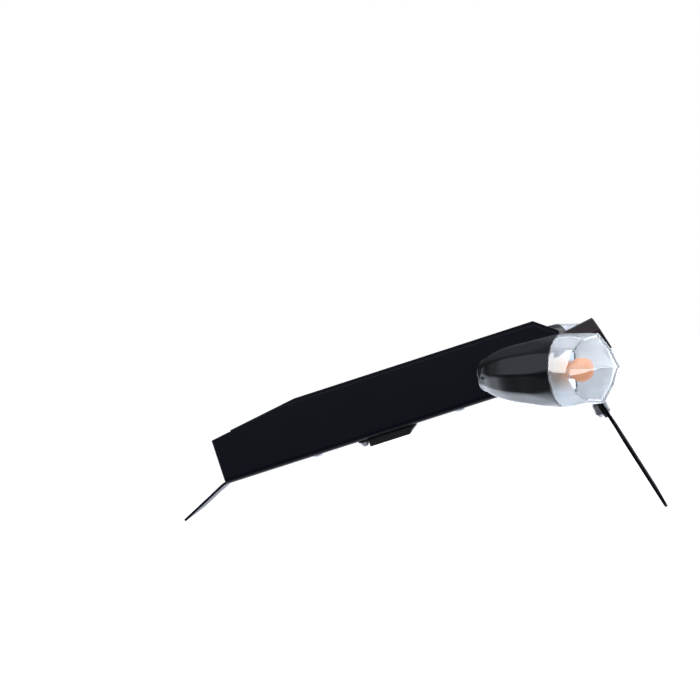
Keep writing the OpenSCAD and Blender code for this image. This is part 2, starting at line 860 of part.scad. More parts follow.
module stalk_washer(side) {
    color(zinc) translate([stalk_x, side * (nut_seat_y - washer_t), stalk_z])
        rotate([-side * 90, 0, 0]) difference() {
            cylinder(h = washer_t, d = 1.75 * stud_d);
            translate([0, 0, -1]) cylinder(h = washer_t + 2, d = stud_d + hole_gap);
        }
}

module stalk_nut(side) {
    color(zinc) translate([stalk_x, side * (nut_seat_y - washer_t - stud_nut_h), stalk_z])
        rotate([-side * 90, 0, 0]) difference() {
            cylinder(h = stud_nut_h, d = nut_d(stud_d), $fn = 6);
            translate([0, 0, -1]) cylinder(h = stud_nut_h + 2, d = stud_d + tap_gap);
        }
}

// A thin seal between housing and lens
module gasket(side) {
    color(rubber_black) place(side) difference() {
        loft([
            ring(0, body_r - 0.2, body_r - 0.2, 0),
            ring(-joint_gap, body_r - 0.2, body_r - 0.2, 0)
        ]);
        loft([
            ring(1, body_r - body_wall, body_r - body_wall, 0),
            ring(-2, body_r - body_wall, body_r - body_wall, 0)
        ]);
    }
}

// The lens: drafted sides, a bevelled rim and a front that folds along a level ridge
rim_l = 2;
fold_l = 3.5;
ridge_h = 0.4;

module lens_form(w) {
    loft([
        ring(lens_l + rim_l + fold_l - 1.3 * w, 0.68 * body_r - w, ridge_h, lens_slant),
        ring(lens_l + rim_l - w, 0.75 * body_r - w, 0.82 * body_r - w, lens_slant),
        ring(lens_l - w, 0.85 * body_r - w, 0.925 * body_r - w, lens_slant),
        ring(w > 0 ? -1 : 0, body_r - w, body_r - w, 0)
    ]);
}

module lens(side) {
    color(clear) place(side) difference() {
        lens_form(0);
        lens_form(lens_wall);
    }
}

// The reflector: a bright faceted dish that narrows to the bulb socket
dish_l = 20;
dish_r = 10.4;
dish_back_r = dish_r + 3;
dish_front_r = body_r - body_wall - 0.5;
dish_wall = 1.2;

module dish(w, x0, x1) {
    loft([
        ring(x0, dish_front_r - w, dish_front_r - w, 0),
        ring(-0.45 * dish_l, 0.66 * body_r - w, 0.66 * body_r - w, 0),
        ring(x1, dish_back_r - w, dish_back_r - w, 0)
    ]);
}

module reflector(side) {
    color([0.9, 0.92, 0.94]) place(side) difference() {
        dish(0, -joint_gap, -dish_l);
        dish(dish_wall, 1, -dish_l + dish_wall);
        translate([-dish_l - 1, 0, 0]) rotate([0, 90, 0]) cylinder(h = dish_l, r = dish_r);
    }
}

// Sizes of the bulb: its overall length, its cap and the place of its globe
globe_x = 13;
bulb_l = 38;
cap_d = 15;
cap_l = 17;
cap_x0 = globe_x + globe_d / 2 - bulb_l;
cap_x1 = cap_x0 + cap_l;
pin_d = 1.6;
pin_back = 4;
pin_reach = 0.15;

// The socket's cup stands in the dish's hole, with a collar behind it, and holds the cap
collar_l = 6;
collar_r = dish_r + 1.6;
cup_end = cap_x1 - 5;

module bulb_socket(side) {
    socket_x0 = -dish_l - collar_l;
    color(plastic_black) place(side) difference() {
        translate([socket_x0, 0, 0]) rotate([0, 90, 0]) {
            cylinder(h = cup_end - socket_x0, r = dish_r - 0.1);
            cylinder(h = collar_l, r = collar_r);
        }
        translate([cap_x0, 0, 0]) rotate([0, 90, 0]) cylinder(h = cap_l, d = cap_d + 0.4);
    }
}

module bulb_cap(side) {
    color(brass) place(side) {
        translate([cap_x0, 0, 0]) rotate([0, 90, 0]) cylinder(h = cap_l, d = cap_d);
        translate([cap_x0 + pin_back, cap_d / 2 + pin_reach, 0]) rotate([90, 0, 0])
            cylinder(h = cap_d + 2 * pin_reach, d = pin_d);
    }
}

// The coloured globe, with a neck that stands on the cap
module bulb_globe(side) {
    color(amber) place(side) {
        translate([globe_x, 0, 0]) sphere(d = globe_d);
        translate([cap_x1, 0, 0]) rotate([0, 90, 0])
            cylinder(h = globe_x - cap_x1, d = 0.8 * cap_d);
    }
}

under_tray();
loom_guard();
guard_screws();
rear_bracket();
plate_hanger();
hanger_bolts();
hanger_nuts();
neck_stiffener();
neck_screws();
neck_nuts();
lamp_hood();
hood_screws();
hood_nuts();
lamp_body();
lamp_board();
lamp_leds();
lamp_lens();
lamp_screws();
tail_spacers();
tail_bolts();
tail_washers();
loom_grommet();
stalk(-1);  // left_stalk
stalk_nut(-1);  // left_stalk_nut
stalk_washer(-1);  // left_stalk_washer
housing(-1);  // left_housing
gasket(-1);  // left_gasket
reflector(-1);  // left_reflector
bulb_socket(-1);  // left_bulb_socket
bulb_cap(-1);  // left_bulb_cap
bulb_globe(-1);  // left_bulb_globe
lens(-1);  // left_lens
stalk(1);  // right_stalk
stalk_nut(1);  // right_stalk_nut
stalk_washer(1);  // right_stalk_washer
housing(1);  // right_housing
gasket(1);  // right_gasket
reflector(1);  // right_reflector
bulb_socket(1);  // right_bulb_socket
bulb_cap(1);  // right_bulb_cap
bulb_globe(1);  // right_bulb_globe
lens(1);  // right_lens
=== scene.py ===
# %% [markdown]
# # Tail tidy
# A tail tidy closes the underside of a motorbike's tail. It is a folded steel tray with a
# raked number-plate hanger, a small hood over the plate lamp and an indicator on each side.
# The solids already stand at their real size and place. This lesson gives them their finish,
# and makes the pieces whose form asks for more than flat faces: the moulded indicators,
# the rubber stalks, the threaded screws and the eased edges of the coated sheet.

# %% Load the frame
import json
from math import cos, pi, radians, sin, tan

import bmesh
import bpy
import numpy as np
from mathutils import Matrix, Vector


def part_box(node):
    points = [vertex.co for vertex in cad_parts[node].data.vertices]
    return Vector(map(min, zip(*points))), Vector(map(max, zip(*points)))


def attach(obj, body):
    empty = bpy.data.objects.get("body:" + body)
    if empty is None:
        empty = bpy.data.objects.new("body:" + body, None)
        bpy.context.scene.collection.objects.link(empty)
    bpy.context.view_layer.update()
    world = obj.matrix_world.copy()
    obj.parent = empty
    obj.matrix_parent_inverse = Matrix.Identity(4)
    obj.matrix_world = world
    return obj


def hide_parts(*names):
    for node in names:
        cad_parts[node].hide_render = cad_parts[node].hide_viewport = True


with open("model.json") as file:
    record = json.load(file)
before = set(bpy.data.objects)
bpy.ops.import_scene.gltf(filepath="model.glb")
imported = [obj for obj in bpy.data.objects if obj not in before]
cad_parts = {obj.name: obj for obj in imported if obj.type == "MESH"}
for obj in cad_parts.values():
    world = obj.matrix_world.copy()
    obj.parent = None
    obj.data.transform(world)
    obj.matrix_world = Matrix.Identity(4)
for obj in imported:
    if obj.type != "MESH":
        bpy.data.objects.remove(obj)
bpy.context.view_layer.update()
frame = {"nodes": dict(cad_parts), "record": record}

MM = 0.001
scene = bpy.context.scene
nodes = frame["nodes"]
slot_of = {s["node"]: s["material_slot"] for s in frame["record"]["subparts"]}
SIDES = ("left", "right")
print("pieces from the frame:", len(nodes))

# %% [markdown]
# ## The camera
# The photograph looks along the bike's cross direction, a little from behind and above.
# The part's own frame follows the tray floor, which rises to the rear on the bike, so the
# camera is first set level beside the bike and then turned about Y by the floor's rise.

# %% Camera
FLOOR_RISE = radians(18.2)
CAMERA_YAW = radians(5.21)
CAMERA_PITCH = radians(-2.555)
CAMERA_PLACE = Vector((0.150, -1.600, 0.0734))
FOCAL_PX = 1972.0
FRAME_PX = 700.0
SENSOR_MM = 36.0
LEVEL = Matrix.Rotation(FLOOR_RISE, 4, "Y")


def photo_camera():
    """A level camera beside the bike, then turned with the floor about the Y axis."""
    data = bpy.data.cameras.new("photo_camera")
    data.sensor_width = SENSOR_MM
    data.lens = FOCAL_PX / FRAME_PX * SENSOR_MM
    data.clip_start = 0.05
    data.clip_end = 60.0
    camera = bpy.data.objects.new("photo_camera", data)
    scene.collection.objects.link(camera)
    aim = Matrix.Rotation(CAMERA_YAW, 4, "Z") @ Matrix.Rotation(pi / 2 + CAMERA_PITCH, 4, "X")
    camera.matrix_world = Matrix.Translation(CAMERA_PLACE) @ LEVEL @ aim
    scene.camera = camera
    return camera


camera = photo_camera()
print("lens in mm:", round(camera.data.lens, 1))

# %% [markdown]
# ## Node helpers
# Every finish below is a node tree. These short helpers add a node, set its inputs by name
# and join sockets, so that a material reads as a list of what the finish is made of.

# %% Node helpers
FLOAT, COLOUR = "NodeSocketFloat", "NodeSocketColor"


def add(tree, kind, **inputs):
    """Adds a node and sets the inputs given by name, with _ for a space."""
    node = tree.nodes.new(kind)
    for key, value in inputs.items():
        node.inputs[key.replace("_", " ")].default_value = value
    return node


def new_material(name):
    """An empty material with a shader and an output, joined."""
    mat = bpy.data.materials.new(name)
    mat.use_nodes = True
    tree = mat.node_tree
    tree.nodes.clear()
    shader = tree.nodes.new("ShaderNodeBsdfPrincipled")
    out = tree.nodes.new("ShaderNodeOutputMaterial")
    tree.links.new(shader.outputs["BSDF"], out.inputs["Surface"])
    return mat, tree, shader


def group(name, inputs, outputs):
    """A node group with named inputs and outputs, ready to be filled."""
    tree = bpy.data.node_groups.new(name, "ShaderNodeTree")
    for key, kind, value in inputs:
        tree.interface.new_socket(key, in_out="INPUT", socket_type=kind).default_value = value
    for key, kind in outputs:
        tree.interface.new_socket(key, in_out="OUTPUT", socket_type=kind)
    return tree, tree.nodes.new("NodeGroupInput"), tree.nodes.new("NodeGroupOutput")


def use(tree, made, **inputs):
    """Places a node group in a material with its own values."""
    node = tree.nodes.new("ShaderNodeGroup")
    node.node_tree = made
    for key, value in inputs.items():
        node.inputs[key.replace("_", " ")].default_value = value
    return node


def maths(tree, kind, a, b, c=None):
    """A Math node whose inputs are sockets or numbers."""
    node = tree.nodes.new("ShaderNodeMath")
    node.operation = kind
    for k, value in enumerate((a, b, c)):
        if isinstance(value, bpy.types.NodeSocket):
            tree.links.new(value, node.inputs[k])
        elif value is not None:
            node.inputs[k].default_value = value
    return node.outputs[0]


# %% [markdown]
# ## Orange peel
# Powder coat melts and flows in the oven, which leaves a fine, soft waviness that breaks up
# highlights. Two sizes of noise, a slow one and a fine one, give that height. The same
# group also varies gloss and tone slightly, because no coat is even everywhere.

# %% Orange peel group
def orange_peel():
    """Height = slow noise + fine noise x Fine; gloss and tone follow a third, broad noise."""
    tree, gin, gout = group(
        "orange_peel",
        [("Scale", FLOAT, 900.0), ("Fine", FLOAT, 0.35), ("Roughness", FLOAT, 0.4),
         ("Vary", FLOAT, 0.06), ("Colour", COLOUR, (0.01, 0.01, 0.01, 1)),
         ("Dusted", COLOUR, (0.02, 0.02, 0.02, 1))],
        [("Height", FLOAT), ("Roughness", FLOAT), ("Colour", COLOUR)],
    )
    link = tree.links.new
    at = tree.nodes.new("ShaderNodeTexCoord").outputs["Object"]
    slow = add(tree, "ShaderNodeTexNoise", Detail=2.0)
    fine = add(tree, "ShaderNodeTexNoise", Detail=3.0)
    broad = add(tree, "ShaderNodeTexNoise", Scale=22.0, Detail=4.0)
    for noise in (slow, fine, broad):
        link(at, noise.inputs["Vector"])
    link(gin.outputs["Scale"], slow.inputs["Scale"])
    link(maths(tree, "MULTIPLY", gin.outputs["Scale"], 4.0), fine.inputs["Scale"])
    height = maths(tree, "MULTIPLY_ADD", fine.outputs["Fac"], gin.outputs["Fine"],
                   slow.outputs["Fac"])
    link(height, gout.inputs["Height"])
    gloss = maths(tree, "MULTIPLY_ADD", broad.outputs["Fac"], gin.outputs["Vary"],
                  gin.outputs["Roughness"])
    link(gloss, gout.inputs["Roughness"])
    tone = tree.nodes.new("ShaderNodeMix")
    tone.data_type = "RGBA"
    link(broad.outputs["Fac"], tone.inputs[0])
    link(gin.outputs["Colour"], tone.inputs[6])
    link(gin.outputs["Dusted"], tone.inputs[7])
    link(tone.outputs[2], gout.inputs["Colour"])
    return tree


PEEL = orange_peel()

# %% [markdown]
# ## One recipe for opaque finishes
# Satin coat, moulded plastic, rubber and plated metal all share one recipe: tone and gloss
# from the orange-peel group and its height into a bump. What sets them apart is how dark,
# how glossy and how coarse each is, so the recipe takes those as its values. Dull zinc plate
# scatters as much light as it mirrors, so its Metallic is one half.

# %% Opaque finishes
RELIEF = 0.2 * MM
COAT_GLOSS = 0.12


def finish(name, colour, dusted, roughness, scale=900.0, bump=0.12, vary=0.06, specular=0.3,
           coat=0.0, metallic=0.0):
    """Tone and gloss from the orange peel, its height into a bump, constants on the shader."""
    mat, tree, shader = new_material(name)
    peel = use(tree, PEEL, Scale=scale, Roughness=roughness, Vary=vary,
               Colour=(*colour, 1), Dusted=(*dusted, 1))
    relief = add(tree, "ShaderNodeBump", Strength=bump, Distance=RELIEF)
    tree.links.new(peel.outputs["Height"], relief.inputs["Height"])
    tree.links.new(relief.outputs["Normal"], shader.inputs["Normal"])
    tree.links.new(peel.outputs["Roughness"], shader.inputs["Roughness"])
    tree.links.new(peel.outputs["Colour"], shader.inputs["Base Color"])
    shader.inputs["Specular IOR Level"].default_value = specular
    shader.inputs["Coat Weight"].default_value = coat
    shader.inputs["Coat Roughness"].default_value = COAT_GLOSS
    shader.inputs["Metallic"].default_value = metallic
    return mat


TRAY = finish("tray_coat", (0.0022, 0.0036, 0.0072), (0.0040, 0.0056, 0.0104), 0.42,
              specular=0.12)
BRACKET = finish("bracket_coat", (0.004, 0.0045, 0.006), (0.006, 0.007, 0.009), 0.46)
HANGER = finish("hanger_coat", (0.003, 0.0035, 0.0052), (0.0046, 0.0052, 0.0072), 0.44,
                bump=0.05, specular=0.08)
# The hood's reddish-brown tone is painted reflection of the red tail light on its black coat.
HOOD_RED_REFLECTION = finish("hood_coat_red_reflection", (0.0150, 0.0090, 0.0108), (0.0195, 0.0120, 0.0140), 0.36, bump=0.06,
              specular=0.14)
GUARD = finish("guard_coat", (0.003, 0.004, 0.006), (0.005, 0.006, 0.008), 0.46, bump=0.1)
BODY = finish("housing_black", (0.0028, 0.0034, 0.0048), (0.004, 0.005, 0.0065), 0.20,
              scale=1500.0, bump=0.03, specular=0.42, coat=0.1)
LAMP = finish("lamp_black", (0.009, 0.009, 0.010), (0.014, 0.014, 0.015), 0.5, 2200.0, 0.3)
RUBBER = finish("rubber", (0.008, 0.008, 0.009), (0.016, 0.016, 0.016), 0.68, 1300.0, 0.3)
ZINC = finish("zinc_plate", (0.62, 0.64, 0.68), (0.78, 0.80, 0.84), 0.40, 1600.0, 0.15, 0.2,
              metallic=0.5)
MIRROR = finish("reflector_metal", (0.84, 0.87, 0.92), (0.92, 0.94, 0.97), 0.12, 500.0, 0.05, 0.1,
                metallic=1.0)
BRASS = finish("cap_brass", (0.62, 0.50, 0.30), (0.74, 0.62, 0.40), 0.25, 1200.0, 0.15, 0.2,
               metallic=1.0)
BOARD = finish("board_green", (0.02, 0.13, 0.07), (0.03, 0.17, 0.09), 0.4, 3000.0, 0.15)
EMITTER = finish("emitter_yellow", (0.86, 0.78, 0.40), (0.92, 0.86, 0.5), 0.3, 4000.0, 0.1)
print("opaque finishes made:", len(bpy.data.materials))

# %% [markdown]
# ## Clear and coloured glass
# The lens is clear moulded plastic with a cool, slightly milky cast, and the bulb is lacquered
# amber glass. Both are real shells with a wall. The lens bends light twice and scatters a
# little of it, so its Transmission Weight is just below one. The lacquer scatters most of the
# light, so the bulb's is low.

# %% Glass
RIPPLE_SCALE = 160.0
RIPPLE_DEPTH = 0.5 * MM


def glassy(name, colour, ior, roughness, clear, frost=0.0):
    """Transmitting shader with a plain tint; noise ripples it and frost adds roughness."""
    mat, tree, shader = new_material(name)
    shader.inputs["Base Color"].default_value = (*colour, 1)
    shader.inputs["Transmission Weight"].default_value = clear
    shader.inputs["IOR"].default_value = ior
    at = tree.nodes.new("ShaderNodeTexCoord").outputs["Object"]
    ripple = add(tree, "ShaderNodeTexNoise", Scale=RIPPLE_SCALE, Detail=1.0)
    tree.links.new(at, ripple.inputs["Vector"])
    gloss = maths(tree, "MULTIPLY_ADD", ripple.outputs["Fac"], roughness, 0.6 * roughness)
    if frost:
        marked = tree.nodes.new("ShaderNodeAttribute")
        marked.attribute_name = "frost"
        gloss = maths(tree, "MULTIPLY_ADD", marked.outputs["Fac"], frost, gloss)
    tree.links.new(gloss, shader.inputs["Roughness"])
    relief = add(tree, "ShaderNodeBump", Strength=0.03, Distance=RIPPLE_DEPTH)
    tree.links.new(ripple.outputs["Fac"], relief.inputs["Height"])
    tree.links.new(relief.outputs["Normal"], shader.inputs["Normal"])
    return mat


CLEAR = glassy("lens_clear", (0.92, 0.96, 1.0), 1.49, 0.04, 0.95, frost=0.8)
AMBER = glassy("bulb_amber", (1.0, 0.27, 0.004), 1.45, 0.08, 0.2)
LAMP_CLEAR = glassy("lamp_clear", (0.94, 0.96, 0.98), 1.49, 0.12, 0.9)

FINISHES = {
    "tray_steel": TRAY, "bracket_steel": BRACKET, "hanger_steel": HANGER, "hood_steel": HOOD_RED_REFLECTION,
    "guard_plastic": GUARD, "zinc": ZINC, "lamp_plastic": LAMP, "board": BOARD, "led": EMITTER,
    "lamp_clear": LAMP_CLEAR, "housing_plastic": BODY, "rubber": RUBBER, "reflector": MIRROR,
    "brass": BRASS, "amber_glass": AMBER, "lens_clear": CLEAR,
}
for name, node in nodes.items():
    node.data.materials.clear()
    node.data.materials.append(FINISHES[slot_of[name]])
print("finishes given:", len(set(slot_of.values())))

# %% [markdown]
# ## Surfaces from grids
# Each new piece is a grid of points worked out as whole arrays: one direction runs along the
# piece, the other runs round it. The helper joins neighbours into quads and closes the ends,
# either with a fan at each pole or by running the last ring back into the first. A mesh whose
# signed volume comes out negative is inside out, so its faces are turned round.

# %% Grid helper
def grid_mesh(name, grids, loop=False):
    """Quads between neighbouring rings of (n, m, 3) arrays in mm, one closed surface each."""
    verts, faces, start = [], [], 0
    for points in grids:
        n, m, _ = points.shape
        index = start + np.arange(n * m).reshape(n, m)
        rows = np.concatenate([index, index[:1]], 0) if loop else index
        a, b = rows[:-1], rows[1:]
        faces += np.stack([a, np.roll(a, -1, 1), np.roll(b, -1, 1), b], -1).reshape(-1, 4).tolist()
        verts.append(points.reshape(-1, 3))
        start += n * m
        if not loop:
            verts.append(np.stack([points[0].mean(0), points[-1].mean(0)]))
            low, high = index[0], index[-1]
            faces += np.stack([np.roll(low, -1), low, np.full(m, start)], -1).tolist()
            faces += np.stack([high, np.roll(high, -1), np.full(m, start + 1)], -1).tolist()
            start += 2
    mesh = bpy.data.meshes.new(name)
    mesh.from_pydata((np.concatenate(verts) * MM).tolist(), [], faces)
    form = bmesh.new()
    form.from_mesh(mesh)
    if form.calc_volume(signed=True) < 0:
        bmesh.ops.reverse_faces(form, faces=form.faces)
    form.to_mesh(mesh)
    form.free()
    return mesh


def show(name, mesh, slot, stands_for=(), smooth=40.0):
    """Links a mesh under the root with its slot's finish and hides the solids it stands for."""
    obj = bpy.data.objects.new(name, mesh)
    scene.collection.objects.link(obj)
    mesh.materials.clear()
    mesh.materials.append(FINISHES[slot])
    mesh.shade_smooth()
    mesh.set_sharp_from_angle(angle=radians(smooth))
    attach(obj, "root")
    if stands_for:
        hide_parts(*stands_for)
    print(f"{name}: {len(mesh.polygons)} faces")
    return obj


# %% [markdown]
# ## Eased edges
# Laser-cut sheet is tumbled or filed before it is coated, and the coat pulls away from sharp
# edges, so every edge of the real part is slightly round and catches a thin line of light.
# A merged copy of the solid takes a small Bevel, which is quicker and truer than drawing it.

# %% Ease the sheet parts
WELD = 0.002 * MM
# In degrees: up to how much faces count as flat, and from how much an edge is eased.
FLAT_TURN, EDGE_TURN = 0.6, 30.0


def eased(name, radius, segments=2):
    """Merges the solid's triangles, joins flat ones, then bevels every edge of EDGE_TURN or more.

    Normals weighted by face area keep the wide flat faces evenly shaded up to their edges.
    """
    mesh = nodes[name].data.copy()
    form = bmesh.new()
    form.from_mesh(mesh)
    bmesh.ops.remove_doubles(form, verts=form.verts, dist=WELD)
    bmesh.ops.dissolve_limit(form, angle_limit=radians(FLAT_TURN), verts=form.verts,
                             edges=form.edges)
    form.to_mesh(mesh)
    form.free()
    obj = show(f"{name}_eased", mesh, slot_of[name], [name], smooth=EDGE_TURN)
    bevel = obj.modifiers.new("ease", "BEVEL")
    bevel.width = radius * MM
    bevel.segments = segments
    bevel.limit_method = "ANGLE"
    bevel.angle_limit = radians(EDGE_TURN)
    bevel.use_clamp_overlap = False
    flat = obj.modifiers.new("flat_faces", "WEIGHTED_NORMAL")
    flat.weight = 100
    flat.keep_sharp = True
    return obj


for name, radius in {
    "under_tray": 0.35, "loom_guard": 0.3, "rear_bracket": 0.4, "plate_hanger": 0.45,
    "neck_stiffener": 0.35, "lamp_hood": 0.35, "lamp_body": 0.3, "tail_spacers": 0.3,
}.items():
    eased(name, radius)

# %% [markdown]
# ## Placing an indicator
# The indicator is drawn along its own axis and then turned outward and down. These
# numbers repeat the solid's place; the printed box shows where the solid lens stands.

# %% Indicator frame
IND_X, IND_Y, IND_Z = 149.0, 115.0, -12.0
IND_TOE, IND_PITCH = radians(25.0), radians(13.2)
BODY_L, BODY_WALL = 71.0, 2.4
LENS_L, LENS_SLANT, LENS_WALL = 24.3, radians(24.0), 2.0
JOINT_GAP = 0.8


def placed(points, side):
    """Turns points about Z by the toe and about Y by the pitch, then mirrors for the right."""
    turn = np.array(Matrix.Rotation(IND_PITCH, 3, "Y") @ Matrix.Rotation(-IND_TOE, 3, "Z"))
    out = points @ turn.T + np.array([IND_X, -IND_Y, IND_Z])
    return out * np.array([1.0, -1.0, 1.0]) if side == "right" else out


# The corners from the outermost one over the top to the innermost one, in degrees. On each half
# the lens has one corner more than the ten-sided body, near the middle of the last side.
SIDE_MIDDLE, EXTRA_CORNER = 162.0, 163.0
HALF_TURN = np.array([0.0, 36.0, 72.0, 108.0, 144.0, EXTRA_CORNER, 180.0])


def mirrored(half):
    """Adds the lower corners to the upper ones, so that every outline is level."""
    half = np.array(half, float)
    flip = [1, -1, 1][:half.shape[1]]
    return np.concatenate([half, half[-2:0:-1] * flip])


def regular(radius):
    """Corners of a ten-sided outline; the extra one lies on a straight side."""
    a = np.radians(HALF_TURN)
    on_side = cos(pi / 10) / cos(radians(EXTRA_CORNER - SIDE_MIDDLE))
    r = np.where(HALF_TURN == EXTRA_CORNER, on_side, 1.0) * radius
    return mirrored(np.stack([r * np.cos(a), r * np.sin(a)], -1))


def ring(x, corners, soft=0.0, slant=0.0, fine=16, samples=13):
    """One ring of points: fine steps along each side, averaged over soft sides' length.

    A point at place t runs in a straight line from corner k to corner k + 1. Its average over
    t - soft / 2 to t + soft / 2 rounds the corners and leaves the middle of each side alone.
    A third number in a corner lifts it along the axis.
    """
    n = len(corners)
    t = np.arange(n * fine) / fine + soft * np.linspace(-0.5, 0.5, samples)[:, None]
    k = np.floor(t).astype(int)
    part = (t - k)[..., None]
    flat = ((1 - part) * corners[k % n] + part * corners[(k + 1) % n]).mean(0)
    lift = flat[:, 2] if flat.shape[1] > 2 else 0.0
    return np.stack([x + flat[:, 0] * tan(slant) + lift, flat[:, 0], flat[:, 1]], -1)


low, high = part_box("left_lens")
print("left lens box in mm:", [round(v / MM) for v in low], [round(v / MM) for v in high])

# %% [markdown]
# ## The indicator housing
# It is one black moulding: ten soft facets that grow from a blunt, rounded nose to the lens
# joint. A loft fits it best. The profile along the axis is a smooth curve through the
# solid's own stations, and the corners soften towards the nose, where the facets melt away.

# %% Housing
def smooth_profile(stations, radii, s):
    """Cubic through the stations with slopes from neighbours, so the outline has no kinks."""
    stations, radii = np.array(stations), np.array(radii)
    slope = np.gradient(radii, stations)
    k = np.clip(np.searchsorted(stations, s) - 1, 0, len(stations) - 2)
    h = stations[k + 1] - stations[k]
    t = (s - stations[k]) / h
    return (
        (2 * t**3 - 3 * t**2 + 1) * radii[k]
        + (t**3 - 2 * t**2 + t) * h * slope[k]
        + (-2 * t**3 + 3 * t**2) * radii[k + 1]
        + (t**3 - t**2) * h * slope[k + 1]
    )


HOUSING_X = [-BODY_L, -0.97 * BODY_L, -0.88 * BODY_L, -0.68 * BODY_L, -0.34 * BODY_L, -JOINT_GAP]
HOUSING_R = [3.5, 9.6, 14.6, 20.4, 25.3, 29.4]
HOLLOW_FROM = -0.9 * BODY_L
JOINT_SOFT = 1.1
# Where along the axis the corners are how soft, as a share of a side's length.
SOFT_X = [-BODY_L, -0.7 * BODY_L, -0.25 * BODY_L, -JOINT_GAP]
SOFT_BY = [1.6, 0.5, 0.3, JOINT_SOFT]


def housing(side):
    """Outer loft from the nose to the joint and back inside it, one wall thinner."""
    s = -JOINT_GAP + (JOINT_GAP - BODY_L) * np.sin(np.linspace(0, pi / 2, 44))
    r = smooth_profile(HOUSING_X, HOUSING_R, s)
    soft = np.interp(s, SOFT_X, SOFT_BY)
    outer = [ring(x, regular(q), w) for x, q, w in zip(s, r, soft)]
    inner = [ring(x, regular(q - BODY_WALL), w) for x, q, w in zip(s, r, soft) if x > HOLLOW_FROM]
    path = np.array(outer[::-1] + inner)
    name = f"{side}_housing_shell"
    return show(name, grid_mesh(name, [placed(path, side)]), "housing_plastic",
                [f"{side}_housing"], smooth=50.0)


for side in SIDES:
    housing(side)

# %% [markdown]
# ## The lens
# The lens starts round at the joint and grows into flat sides, like a cut stone. Its front is
# slanted outward and folds along a level ridge that runs from the middle to the outer
# corner. Outer and inner surface come from one table of corners with a wall between
# them, which makes a true shell for the light to bend through. The sides are frosted
# inside and the front is clear, as on a real indicator, so an attribute marks the frost.

# %% Lens
RIM = mirrored([(22.7, 0.0), (16.9, 13.8), (6.6, 26.3), (-7.3, 24.2), (-17.2, 17.2),
                (-22.3, 7.9), (-26.2, 0.0)])
RIDGE = mirrored([(19.9, 0.0, 3.5), (15.0, 0.12, 3.9), (8.0, 0.15, 3.9), (3.0, 0.2, 3.9),
                  (-2.0, 0.3, 3.8), (-23.2, 2.8, 0.5), (-24.2, 0.0, 0.3)])
JOINT_R = 29.5
# Place along the side, share of the rim's outline and softness of its corners.
SIDE_BLEND = [(0.0, 0.0, JOINT_SOFT), (0.06, 0.05, 0.9), (0.3, 0.30, 0.45), (0.6, 0.62, 0.16),
              (0.93, 0.95, 0.06)]
# How far forward and how far inward the rounding of the rim has come.
RIM_ROUND = [(0.0, 0.0), (0.3, 0.2), (0.8, 0.7), (1.0, 1.2)]
FRONT_STEPS = (0.25, 0.5, 0.75, 0.96, 1.0)
RIM_SOFT, FRONT_SOFT = 0.05, 0.04
INNER_RIDGE, RIM_FROST = 0.6, 0.3


def drawn_in(corners, by):
    """Moves each corner towards the middle by a length, so the outline shrinks evenly."""
    far = np.linalg.norm(corners, axis=1, keepdims=True)
    return corners * (1 - by / far)


def lens_rings(wall):
    """Rings from the joint to the ridge; wall is the distance inside the outer surface."""
    joint, rim = drawn_in(regular(JOINT_R), wall), drawn_in(RIM, wall)
    x0 = LENS_L - wall
    ridge = RIDGE * [1, 1, 1.0 if wall == 0 else INNER_RIDGE]
    sides = [ring(q * x0, (1 - m) * joint + m * rim, soft, q * LENS_SLANT)
             for q, m, soft in SIDE_BLEND]
    edge = [ring(x0 + on, drawn_in(rim, by), RIM_SOFT, LENS_SLANT) for on, by in RIM_ROUND]
    on, by = RIM_ROUND[-1]
    start = np.pad(drawn_in(rim, by), ((0, 0), (0, 1)))
    front = [ring(x0 + on, (1 - q) * start + q * ridge, FRONT_SOFT, LENS_SLANT)
             for q in FRONT_STEPS]
    return sides + edge + front


def lens(side):
    """Outer surface from ridge to joint, then the inner surface forward again."""
    outer, inner = lens_rings(0.0), lens_rings(LENS_WALL)
    path = np.array(outer[::-1] + inner)
    name = f"{side}_lens_shell"
    mesh = grid_mesh(name, [placed(path, side)])
    clear = len(inner) - len(SIDE_BLEND) - 1
    rows = [0.0] * len(outer) + [1.0] * len(SIDE_BLEND) + [RIM_FROST] + [0.0] * clear
    frost = np.repeat(rows, path.shape[1])
    layer = mesh.attributes.new("frost", "FLOAT", "POINT")
    layer.data.foreach_set("value", np.concatenate([frost, [0.0, 0.0]]).astype(np.float32))
    return show(name, mesh, "lens_clear", [f"{side}_lens"], smooth=12.0)


GASKET_IN = 0.3


def gasket(side):
    """A flat square-edged band between housing and lens, a touch inside both."""
    edge = [(-JOINT_GAP, GASKET_IN), (0.0, GASKET_IN), (0.0, BODY_WALL), (-JOINT_GAP, BODY_WALL)]
    path = np.array([ring(x, drawn_in(regular(JOINT_R), w), JOINT_SOFT) for x, w in edge])
    name = f"{side}_gasket_band"
    return show(name, grid_mesh(name, [placed(path, side)], loop=True), "rubber",
                [f"{side}_gasket"])


for side in SIDES:
    lens(side)
    gasket(side)

# %% [markdown]
# ## Reflector, bulb and filament
# Behind the lens a metallised dish gathers the light of a small amber bulb. The dish is a
# parabola carried round the axis that grows from a circle at the bulb to the ten-sided
# joint. The bulb is a thin glass skin, turned from a profile, with a coiled wire in it.

# %% Reflector and bulb
DISH_L, DISH_HOLE, DISH_FRONT, DISH_WALL = 20.0, 10.8, 25.9, 1.2
CIRCLE_SOFT = 3.0
GLOBE_X, GLOBE_R, CAP_END, GLASS = 14.4, 9.0, 2.0, 0.7
NECK_R, NECK_L = 6.0, 2.5
COIL_R, COIL_L, COIL_TURNS = 0.8, 5.0, 9
WIRE_R, POST_R, POST_Y = 0.15, 0.3, 2.6


